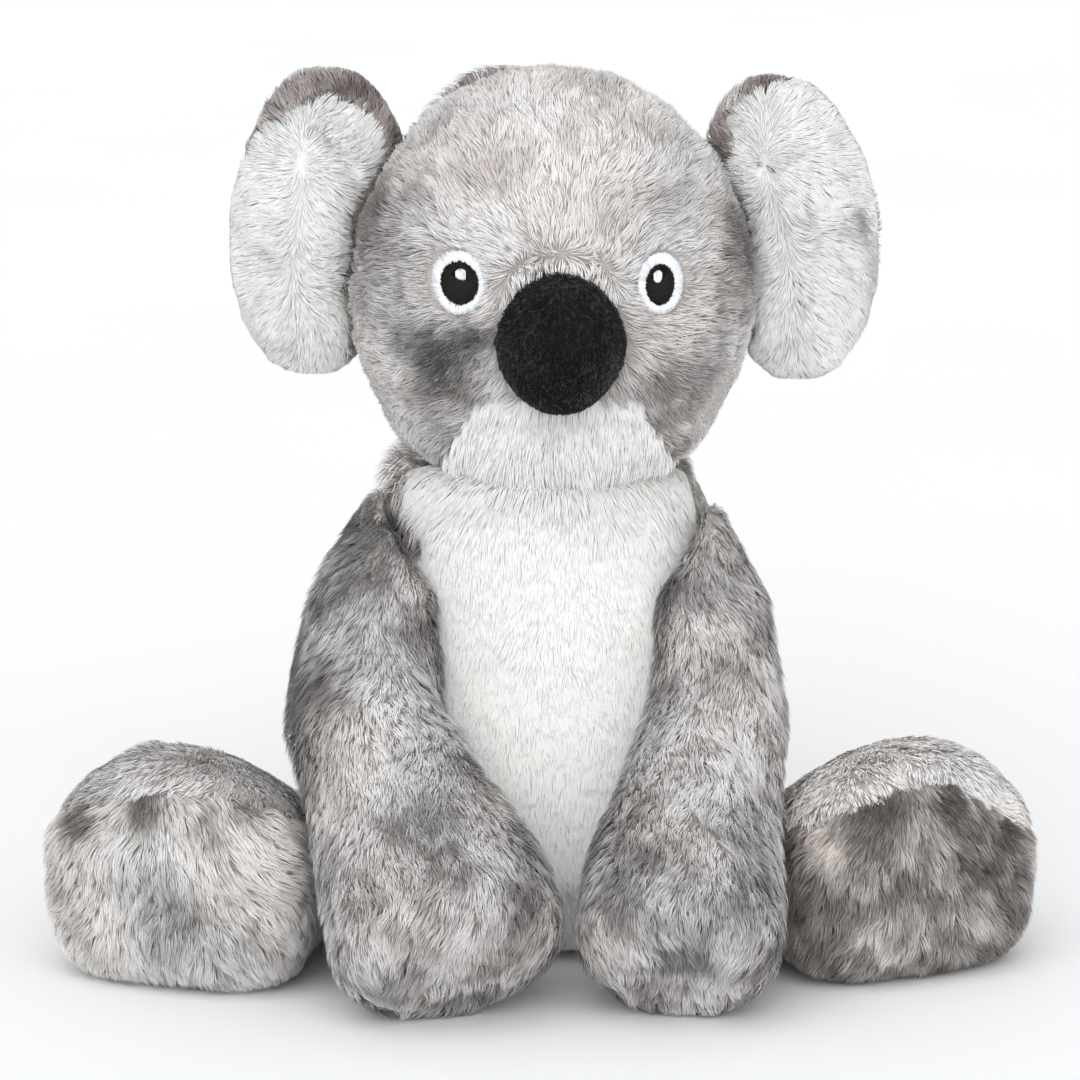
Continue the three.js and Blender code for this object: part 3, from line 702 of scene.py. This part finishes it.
# What differs between the koala's sides, with its lines and holes as (x, z) in the front view
SIDES = {
    "left": dict(
        way=-1,
        lining_edge=[
            (-135, 284), (-117, 286), (-111, 293), (-108, 300), (-103, 303.5), (-97, 305.5), (-92, 310), (-87, 313),
            (-82, 313), (-76, 311.5), (-71, 309.5), (-68, 306.5), (-65.5, 302), (-64, 298), (-65, 294), (-68, 288),
            (-72, 281), (-75.5, 276), (-77, 268), (-78, 260), (-79.5, 251.7), (-80.5, 243.4), (-77.5, 229),
            (-75.5, 200), (-135, 200),
        ],
        parting=[(-94, 205), (-95.6, 248), (-92.8, 291), (-88, 330)],
        pleat=[(-88, 301), (-79.2, 294), (-76.3, 285), (-73.8, 276.8)],
        sole_seam=[
            (-200, 55), (-181.7, 62.2), (-170.7, 69.5), (-150.8, 75.7), (-131, 77.3),
            (-114.9, 74.4), (-95.3, 62), (-80, 45),
        ],
        ear_back=dict(fluff=[((-104, 0, 315), 16, 0.8, 18), ((-84, 4, 324), 20, 0.6, 20)]),
        ear_lining=dict(patches=[((-119, 0, 288), 6, -0.8, 0.0)]),
        arm_front=dict(
            tone=0.49,
            patches=[
                ((-100, -56, 96), 24, -0.85, -0.35), ((-75, -75, 98), 7, -0.2, -0.1), ((-62, -98, 78), 7, -0.2, -0.1),
                ((-34, -111, 67), 6, -0.5, 0.0), ((-42, -35, 150), 7, -0.6, 0.0), ((-42, -40, 136), 7, -0.5, 0.0),
                ((-65, -30, 157), 16, -0.58, -0.1), ((-64, -84, 93), 22, 0.45, 0.1),
            ],
            fluff=[((-96, -50, 100), 28, 0.45, 16), ((-70, -12, 163), 18, -0.7, -12)],
        ),
        leg=dict(tone=0.62, tint=0.45, fluff=[((-115, -50, 84), 24, -0.6, -10), ((-150, -62, 90), 8, 0.6, 20)]),
        sole=dict(
            comb=away_from(-150, -82, 93), tone=0.68, mottle=0.18, tint=0.42, fluff=[((-183, -70, 66), 14, 0.4, 14)],
        ),
        sole_patches=[
            ((-171, -81, 66), 7, -0.5, 0.1), ((-151, -88, 77), 8, -0.5, 0.1), ((-117, -93, 76), 7, -0.5, 0.1),
            ((-95, -98, 40), 10, -0.25, 0.0), ((-140, -98, 12), 22, -0.16, 0.0),
        ],
    ),
    "right": dict(
        way=1,
        lining_edge=[
            (100, 345), (94, 321), (87, 318), (80, 316), (73, 313.5), (68, 309.5), (66, 305),
            (67, 300), (68, 290), (71, 280), (76, 272), (77, 262), (75, 245), (76, 236),
            (78, 229.2), (75, 222.4), (70, 209.9), (66, 200), (135, 200), (135, 345),
        ],
        parting=[(92, 205), (91.2, 231), (88.9, 245.5), (87.1, 260), (79.5, 284), (78, 330)],
        pleat=[(72.3, 298.6), (76, 289), (81, 285), (89, 291.7)],
        sole_seam=[
            (75, 50), (82.5, 59), (104.2, 70.4), (121.6, 76.6), (137.2, 76.4), (155, 66.7), (170.4, 52.4), (185, 40),
        ],
        ear_back=dict(fluff=[((122, 5, 250), 24, 0.9, 18), ((64, 2, 308), 17, 1.2, 26), ((82, 2, 322), 14, 0.15, 8)]),
        ear_lining=dict(
            holes=[
                *[(78 + 0.9 * i, 289.5 - 0.5 * i) for i in range(5)],
                *[(92 + 0.5 * (i % 2), 283 - 1.5 * i) for i in range(8)],
                *[(88.5 + 0.35 * i + 1.3 * (i % 2), 251 - 1.25 * i) for i in range(13)],
            ],
            patches=[(at, 6, -0.8, 0.0) for at in ((112, -3, 268), (121, 0, 261), (123, 0, 247), (122, 0, 236))],
            fluff=[((120, 0, 235), 20, 0.5, 16), ((98, 0, 208), 16, 0.5, 16)],
        ),
        arm_front=dict(
            tone=0.48,
            patches=[
                ((54, -119, 64), 10, -0.28, -0.1), ((30, -120, 34), 12, -0.3, 0.0),
                ((45, -30, 140), 16, -0.45, 0.3), ((57, -84, 88), 28, 0.45, 0.1),
            ],
            fluff=[((86, -50, 105), 22, 0.2, 8), ((66, -12, 160), 18, -0.7, -12)],
        ),
        leg=dict(
            tone=0.85, tint=0.6, glow=1.2, patches=[((125, -60, 84), 40, 0.4, 0.0)],
            fluff=[((105, -50, 84), 26, -0.65, -12), ((138, -55, 90), 9, 0.6, 20)],
        ),
        sole=dict(comb=away_from(120, -82, 93), tone=0.36, mottle=0.22, tint=0.56),
        sole_patches=[
            ((114, -95, 71), 6, -0.4, 0.0), ((128, -102, 40), 8, -0.2, -0.1), ((105, -103, 36), 8, -0.2, -0.1),
            ((79, -98, 43), 12, -0.4, 0.0), ((161, -81, 60), 7, -0.5, 0.1), ((95, -98, 60), 14, 0.25, 0.1),
        ],
    ),
}
# The belly's left edge at its top, as (distance from the middle, z)
BELLY_TOP_EDGE = [(70, 140), (51, 150), (49.5, 162), (50, 190)]
# How deep and wide an ear's creases are, and the plump lobe above its pleat
PLEAT_CREASE = (4.0, 3.5)
PARTING_CREASE = (1.5, 5.0)
LOBE_OUT, LOBE_Z, LOBE_RADIUS, LOBE_PROUD = 73, 302, 11, 3.0


def side_pockets(name, side):
    """The ear, the arm and the leg of one side."""
    way = side["way"]
    ear, arm, leg = name + "_ear", name + "_arm", name + "_leg"
    # painted shade along the seam between the leg's panel and the sole
    seam_shade = [((x, -92, z - 4), 6, -0.22, 0.05) for x, z in side["sole_seam"][1:-1]]
    return {
        ear: dict(body=ear, filling=None, voxel=3, side=side, panels={
            ear + "_back": dict(
                slot="dark_pile", comb=away_from(way * 84, -8, 262), length=7.5, loft=2.6, lift=30, swirl=16,
                density=2.3, width=0.3, clump=0.34, tone=0.56, mottle=0.3, tint=0.55, seed=71 + way, **side["ear_back"],
            ),
            ear + "_lining": dict(
                slot="white_pile", comb=parted_ear(side["parting"]), length=8.5, loft=2.2,
                lift=21, swirl=14, stray=0.6, density=3.0, width=0.3, clump=0.22, per_tuft=30,
                sleek=0.92, glow=0.35, tone=0.46, mottle=0.1, tint=0.45, seed=81 + way,
                **side["ear_lining"],
            ),
        }),
        arm: dict(body=arm, filling=arm + "_filling", panels={
            arm + "_front_panel": dict(
                slot="grey_pile", comb=away_from(way * 52, -14, 182, 0.25), length=8.5, loft=4.5, lift=26, swirl=18,
                density=2.4, width=0.29, clump=0.28, mottle=0.18, tint=0.46, seed=91 + way, **side["arm_front"],
            ),
            arm + "_under_panel": dict(
                slot="grey_pile", comb=away_from(way * 52, 0, 178, 0.25), length=7.5, loft=4.0, lift=24, swirl=18,
                density=1.15, width=0.38, clump=0.4, tone=0.5, mottle=0.22, tint=0.48, seed=101 + way,
            ),
        }),
        leg: dict(body=leg, filling=leg + "_filling", sole_seam=side["sole_seam"], panels={
            leg + "_panel": dict(
                slot="grey_pile", comb=away_from(way * 90, -15, 125, 0.1), length=5.5, loft=3.6, lift=26, swirl=26,
                density=2.0, width=0.34, clump=0.35, mottle=0.15, seed=111 + way, **side["leg"],
            ),
            name + "_sole_panel": dict(
                slot="sole_pile", length=9.0, loft=4.5, lift=26, swirl=14, density=2.4, width=0.29, clump=0.36,
                seed=121 + way, patches=side["sole_patches"] + seam_shade, **side["sole"],
            ),
        }),
    }


POCKETS = {
    "body": dict(body="body", filling="body_filling", panels={
        "belly_panel": dict(
            slot="white_pile", comb=belly_comb, length=7.0, loft=2.6, over=8,
            lift=8, swirl=8, stray=0.25, density=2.9, width=0.46, clump=0.05, per_tuft=40,
            sleek=0.96, glow=0.5, tone=0.9, mottle=0.05, tint=0.5, seed=11,
            # painted shade: the first patch greys the belly low between the legs near the floor, the second darkens it
            # faintly under the chin
            patches=[((0, -60, 22), 26, -0.6, -0.1), ((0, -58, 176), 26, -0.4, 0.0)],
            fluff=[
                *[((x, y, 181), 12, 0.4, 12)
                  for x, y in ((-40, -42), (-20, -54), (0, -58), (20, -54), (40, -42))],
                *[((x, -32, 173), 10, 1.0, 26) for x in (-49, 50)],
            ],
        ),
        "body_back_panel": dict(
            slot="grey_pile", comb=away_from(0, 0, 230, 0.6), length=8.5, loft=5.0, over=5,
            lift=26, swirl=22, density=1.0, width=0.38, clump=0.4, glow=0.3,
            tone=0.58, mottle=0.24, tint=0.5, seed=21,
            patches=[
                ((-62, -22, 156), 12, -0.9, -0.2), ((-53, -34, 173), 10, 0.6, 0.1), ((52, -28, 150), 14, -0.5, 0.3),
                # the first patch here is the beige fur at the left of the neck, painted lighter still against the
                # head's shadow
                ((-60, -14, 181), 18, 1.1, 0.2), ((62, -18, 172), 9, -0.4, 0.0),
            ],
            fluff=[((-58, -10, 181), 16, 0.8, 36), ((62, -10, 168), 24, -0.5, -12)],
        ),
    }),
    "head": dict(body="head", filling="head_filling", panels={
        "face_panel": dict(
            slot="grey_pile", comb=face_comb, length=7.2, loft=3.4, over=5, trim=eye_and_nose_room,
            lift=20, swirl=17, density=2.03, width=0.28, clump=0.24,
            tone=0.62, mottle=0.13, tint=0.52, seed=31,
            patches=[
                ((0, -60, 290), 44, 0.22, 0.1), ((-46, -55, 238), 8, -0.28, -0.5), ((-36, -62, 236), 8, -0.34, -0.5),
                ((-29, -66, 238), 6, -0.4, -0.5), ((-44, -56, 226), 10, -0.34, -0.35),
                ((-53, -46, 232), 8, -0.25, -0.3), ((-35, -60, 218), 10, -0.35, 0.2), ((-47, -48, 211), 10, -0.35, 0.1),
                ((37, -55, 212), 17, -0.4, 0.1), ((48, -40, 188), 6, -0.5, 0.0), ((-68, -22, 268), 24, -0.5, 0.1),
                ((69, -22, 264), 22, -0.5, 0.1), ((4, -50, 302), 8, -0.22, 0.1), ((34, -52, 287), 8, -0.22, 0.1),
                ((-24, -56, 294), 8, -0.15, 0.1), ((60, -40, 225), 16, -0.15, 0.0),
            ],
            fluff=[
                ((-60, -22, 200), 15, -0.35, -8), ((57, -26, 204), 20, -0.6, -10),
                *[((x, -66, 263 - abs(x) / 8), 6, 0.45, 40) for x in (-14, -5, 4, 13)],
            ],
        ),
        "chin_panel": dict(
            slot="white_pile", comb=away_from(0, -40, 250, 0.5), length=7.5, loft=4.5, over=12,
            trim=eye_and_nose_room, lift=10, swirl=9, stray=0.25,
            density=2.9, width=0.46, clump=0.06, per_tuft=34,
            sleek=0.96, glow=0.55, tone=0.47, mottle=0.05, tint=0.5, seed=41,
            fluff=[((x, y, 184), 12, 0.8, 13) for x, y in ((-40, -38), (-20, -52), (0, -56), (20, -52), (40, -38))],
        ),
        "head_back_panel": dict(
            slot="dark_pile", comb=away_from(0, -50, 262, 0.35), length=8.5, loft=4.0, lift=28, swirl=20, density=1.2,
            width=0.37, clump=0.34, tone=0.5, mottle=0.24, tint=0.55, seed=51,
            patches=[((-34, 10, 316), 20, 0.3, 0.2), ((-18, 8, 324), 16, 0.45, 0.1)],
            fluff=[((-38, 14, 312), 22, 1.0, 36), ((-20, 10, 322), 15, 0.7, 30)],
        ),
    }),
    "nose": dict(body="head", filling="nose_filling", voxel=2.2, panels={
        "nose_skin": dict(
            slot="black_plush", comb=away_from(0, -70, 275), length=1.9, loft=1.4, lift=40, swirl=30, density=5.5,
            width=0.27, clump=0.3, per_tuft=30, tone=0.4, mottle=0.25, tint=0.5, seed=61,
        ),
    }),
}
for name, side in SIDES.items():
    POCKETS.update(side_pockets(name, side))


def inside(x, z, edge):
    """Which points of the front view lie within a closed edge."""
    within = np.zeros(len(x), dtype=bool)
    for (x0, z0), (x1, z1) in zip(edge, edge[1:] + edge[:1]):
        crosses = (z0 > z) != (z1 > z)
        within ^= crosses & (x < x0 + (z - z0) * (x1 - x0) / (z1 - z0 if z1 != z0 else 1))
    return within


def fold_ear(points, facing, side):
    """The lining's pleat: a groove with a plump lobe above it, and a shallow parting."""
    front = facing[:, 1] < -0.1
    flat = points * [1, 0, 1]
    straight = np.tile([0.0, -1.0, 0.0], (len(points), 1))
    creases = ((side["pleat"], PLEAT_CREASE), (side["parting"], PARTING_CREASE))
    for line, (depth, width) in creases:
        folded = press(flat, straight, [(x, 0, z) for x, z in line], depth, width)
        points[:, 1] += np.where(front, folded[:, 1], 0)
    lobe_x = side["way"] * LOBE_OUT
    away = (points[:, 0] - lobe_x) ** 2 + (points[:, 2] - LOBE_Z) ** 2
    lobe = np.exp(-away / LOBE_RADIUS ** 2)
    points[:, 1] -= np.where(front, LOBE_PROUD * lobe, 0)
    return points


def panel_of_each(name, pocket, middles):
    """Which panel each quad is cut to: the nearest, with the edges that the photograph shows."""
    solids = [solid_of([panel]) for panel in pocket["panels"]]
    label = np.array([min(range(len(solids)), key=lambda i: solids[i].find_nearest(at)[3]) for at in middles.tolist()])
    x, z = middles[:, 0], middles[:, 2]
    if name == "body":
        out, up = zip(*BELLY_TOP_EDGE)
        label[(label == 0) & (-x > np.interp(z, up, out))] = 1
    if "sole_seam" in pocket:
        label[(label == 1) & (z > np.interp(x, *zip(*pocket["sole_seam"])))] = 0
    if "side" in pocket:
        label[(label == 1) & ~inside(x, z, pocket["side"]["lining_edge"])] = 0
    return label


def declare(piece, node, body):
    """Hides the node that a piece stands for, and attaches the piece to what it rides on."""
    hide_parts(node)
    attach(piece, body)


def make_pocket(name, pocket):
    """Sews and fills one pocket: its panels of cloth, their pile, and the filling inside."""
    panels = list(pocket["panels"])
    nodes = panels + ([pocket["filling"]] if pocket["filling"] else [])
    form = closed_form(name, nodes, pocket.get("voxel", VOXEL))
    mesh = form.data
    points, quads = points_of(mesh), quads_of(mesh)
    label = panel_of_each(name, pocket, points[quads].mean(1))
    on_panel = [set(quads[label == i].ravel().tolist()) for i in range(len(panels))]
    seam = set().union(*[on_panel[i] & on_panel[j] for i in range(len(panels)) for j in range(i)])
    seam = np.array(sorted(seam), dtype=int)
    neighbours = solid_of([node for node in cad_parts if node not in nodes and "eye" not in node])
    room = room_over(points, normals_of(mesh), neighbours)
    most = np.clip(room - NEIGHBOUR_GAP, 0, MOST_FULLNESS)
    if name == "head":
        for eye in EYES.values():
            near = np.hypot(points[:, 0] - eye["x"], points[:, 2] - eye["z"])
            flattened = smooth_step(near, *FLATTENED_ROUND_EYE)
            most *= np.where(points[:, 1] < FRONT_Y, flattened, 1)
    fill_form(form, seam, most)
    points, facing = points_of(mesh), normals_of(mesh)
    if len(seam):
        points[seam] -= facing[seam] * SEAM_SINK
    if "side" in pocket:
        points = fold_ear(points, facing, pocket["side"])
    set_points(mesh, points)
    skin = BVHTree.FromPolygons(points.tolist(), quads.tolist())

    for i, (panel, pile) in enumerate(pocket["panels"].items()):
        short = panel.replace("_panel", "").replace("_skin", "")
        cloth = cut_panel(short + "_cloth", form, quads[label == i])
        cloth.data.materials.append(BACKINGS[pile["slot"]])
        pile = {**USUAL_PILE, **pile}
        fur = grow_pile(short + "_pile", form, quads[label == i], room, skin, pile)
        fur.data.materials.append(PILES[pile["slot"]])
        declare(cloth, panel, pocket["body"])
        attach(fur, pocket["body"])
    if pocket["filling"]:
        form.name = form.data.name = name + "_stuffing"
        inner = points - facing * STUFFING_INSET
        inner[:, 2] = np.maximum(inner[:, 2], STUFFING_FLOOR_GAP)
        set_points(mesh, inner)
        mesh.materials.append(FIBREFILL)
        declare(form, pocket["filling"], pocket["body"])
    else:
        bpy.data.objects.remove(form)


# Embroidered eyes

RING_STITCHES = 132
RING_IN, RING_OUT = (-0.35, 0.25), (-0.3, 0.35)  # how unevenly the ring's stitches end
# The space between rows of brick stitches, a stitch, a stitch with its gap, how far aside each of
# three rows starts, the shortest stitch, and how unevenly they end and lie
ROW, BRICK, BRICK_STEP, BRICK_SHIFTS, LEAST_BRICK = 0.46, 2.6, 2.7, (0, 0.9, 1.8), 0.5
ROW_ENDS, BRICK_WAVER = (-0.1, 0.3), (-0.07, 0.07)
# The highlight: the space between its stitches, and half the longest
SPOT_STITCH, SPOT_HALF_HEIGHT = 0.4, 2.2
SPOT_PROUD = 0.95
# The thread's width and how high it stands, by the part of the eye
RING_THREAD, DISC_THREAD, SPOT_THREAD = (0.5, 0.5), (0.5, 0.28), (0.52, 0.3)
THREAD_SIDES = 6
THREAD_ENDS = 0.35  # how full a stitch is where it dips in
RING_PAD_SUNK, DISC_PAD_SUNK = 0.6, 0.2
RING_PAD_RISE, DISC_PAD_RISE = 3.0, 0.5
PAD_MARGIN = 0.3
PAD_SHADE = 0.3
BEFORE_FACE_Y, EYE_Y = -150, -62


def lay_on(ground, points):
    """Lays points of the front view on the face: each y is how far the point stands off the
    threads' ground."""
    laid = points.copy()
    for i, (x, _, z) in enumerate(points):
        hit = ground.ray_cast(Vector((x, BEFORE_FACE_Y, z)), Vector((0, 1, 0)))[0]
        if hit is None:
            hit = ground.find_nearest(Vector((x, EYE_Y, z)))[0]
        laid[i, 1] += hit.y
    return laid


def embroider(name, stitches, thread, ground, seed):
    """Stitches side by side, each a plump thread that dips in at both ends."""
    rng = np.random.default_rng(seed)
    width, height = thread
    along = np.array([0.0, 0.14, 0.5, 0.86, 1.0])
    plump = np.array([THREAD_ENDS, 0.9, 1.0, 0.9, THREAD_ENDS])
    turn = np.arange(THREAD_SIDES) * math.pi / 3
    points, faces, shades = [], [], []
    for start, end in stitches:
        start, end = np.array(start), np.array(end)
        way = unit(end - start)
        side = np.array([way[1], -way[0]])
        first = len(points)
        for share, full in zip(along, plump):
            at = start + (end - start) * share
            for a in turn:
                off = side * math.cos(a) * width / 2 * full
                out = -height * (full - THREAD_ENDS) - math.sin(a) * height * 0.6 * full
                points.append((at[0] + off[0], out, at[1] + off[1]))
        last = first + (len(along) - 1) * THREAD_SIDES
        for ring in range(first, last, THREAD_SIDES):
            for k in range(THREAD_SIDES):
                a, b = ring + k, ring + (k + 1) % THREAD_SIDES
                faces.append((a, b, b + THREAD_SIDES, a + THREAD_SIDES))
        faces.append(tuple(first + k for k in reversed(range(THREAD_SIDES))))
        faces.append(tuple(last + k for k in range(THREAD_SIDES)))
        shades += [rng.random()] * (len(points) - first)
    laid = lay_on(ground, np.array(points))
    mesh = bpy.data.meshes.new(name)
    mesh.from_pydata((laid * MM).tolist(), [], faces)
    shade = mesh.attributes.new("stitch", "FLOAT", "POINT")
    shade.data.foreach_set("value", np.array(shades, dtype=np.float32))
    piece = add_piece(name, mesh)
    select_only(piece)
    face_outwards()
    return piece


def pad_under(piece, eye, part, ground):
    """A low felt pad under the stitches, so that no cloth shows between them, joined to the piece."""
    bpy.ops.object.select_all(action="DESELECT")
    ring, fill = eye["ring"], eye["fill"]
    if part == "ring":
        bpy.ops.mesh.primitive_torus_add(major_segments=48, minor_segments=8, major_radius=1, minor_radius=0.2)
        half = [(a + b) / 2 for a, b in zip(ring, fill)]
        sunk, rise = RING_PAD_SUNK, RING_PAD_RISE
    else:
        bpy.ops.mesh.primitive_uv_sphere_add(segments=32, ring_count=12, radius=1)
        half = [a - PAD_MARGIN for a in fill]
        sunk, rise = DISC_PAD_SUNK, DISC_PAD_RISE
    pad = bpy.context.active_object
    start = np.empty(len(pad.data.vertices) * 3)
    pad.data.vertices.foreach_get("co", start)
    a, b, c = start.reshape(-1, 3).T
    laid = np.stack([eye["x"] + a * half[0], sunk - c * rise, eye["z"] + b * half[1]], axis=1)
    set_points(pad.data, lay_on(ground, laid))
    shade = pad.data.attributes.new("stitch", "FLOAT", "POINT")
    shade.data.foreach_set("value", np.full(len(laid), PAD_SHADE, dtype=np.float32))
    face_outwards()
    select_only(pad, piece)
    bpy.ops.object.join()


def sew_eye(side, eye):
    """One eye: a ring of satin stitches, a dark fill of brick stitches, and an upright satin highlight."""
    rng = np.random.default_rng(eye["seed"])
    ground = solid_of(["face_panel", side + "_eye_ring", side + "_eye_disc"])
    x, z, ring, fill = eye["x"], eye["z"], eye["ring"], eye["fill"]

    satin = []
    for angle in np.linspace(0, 2 * math.pi, RING_STITCHES, endpoint=False):
        c, s = math.cos(angle), math.sin(angle)
        near, far = rng.uniform(*RING_IN), rng.uniform(*RING_OUT)
        satin.append((
            (x + c * (fill[0] + near), z + s * (fill[1] + near)), (x + c * (ring[0] + far), z + s * (ring[1] + far)),
        ))
    brick = []
    for i, row in enumerate(np.arange(-fill[1] + 0.2, fill[1], ROW)):
        reach = fill[0] * math.sqrt(max(1 - (row / fill[1]) ** 2, 0)) + rng.uniform(*ROW_ENDS)
        start = -reach - BRICK_SHIFTS[i % 3]
        while start < reach:
            a, b = max(start, -reach), min(start + BRICK, reach)
            if b - a > LEAST_BRICK:
                brick.append((
                    (x + a, z + row + rng.uniform(*BRICK_WAVER)), (x + b, z + row + rng.uniform(*BRICK_WAVER)),
                ))
            start += BRICK_STEP
    spot = []
    aside, above, wide = eye["spot"]
    for off in np.arange(-wide, wide + 0.05, SPOT_STITCH):
        tall = SPOT_HALF_HEIGHT * math.sqrt(1 - (off / (wide + 0.45)) ** 2)
        spot.append(((x + aside + off, z + above - tall), (x + aside + off, z + above + tall)))

    for part, stitches, thread, colour in (
        ("ring", satin, RING_THREAD, "white_thread"), ("disc", brick, DISC_THREAD, "dark_thread"),
        ("highlight", spot, SPOT_THREAD, "white_thread"),
    ):
        node = side + "_eye_" + part
        piece = embroider(node + "_stitches", stitches, thread, ground, eye["seed"] + len(part))
        if part == "highlight":
            set_points(piece.data, points_of(piece.data) - [0, SPOT_PROUD, 0])
        else:
            pad_under(piece, eye, part, ground)
        piece.data.materials.clear()
        piece.data.materials.append(THREADS[colour])
        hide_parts(node)
        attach(piece, "head")


set_camera()
set_studio()
for name, pocket in POCKETS.items():
    make_pocket(name, pocket)
for side, eye in EYES.items():
    sew_eye(side, eye)
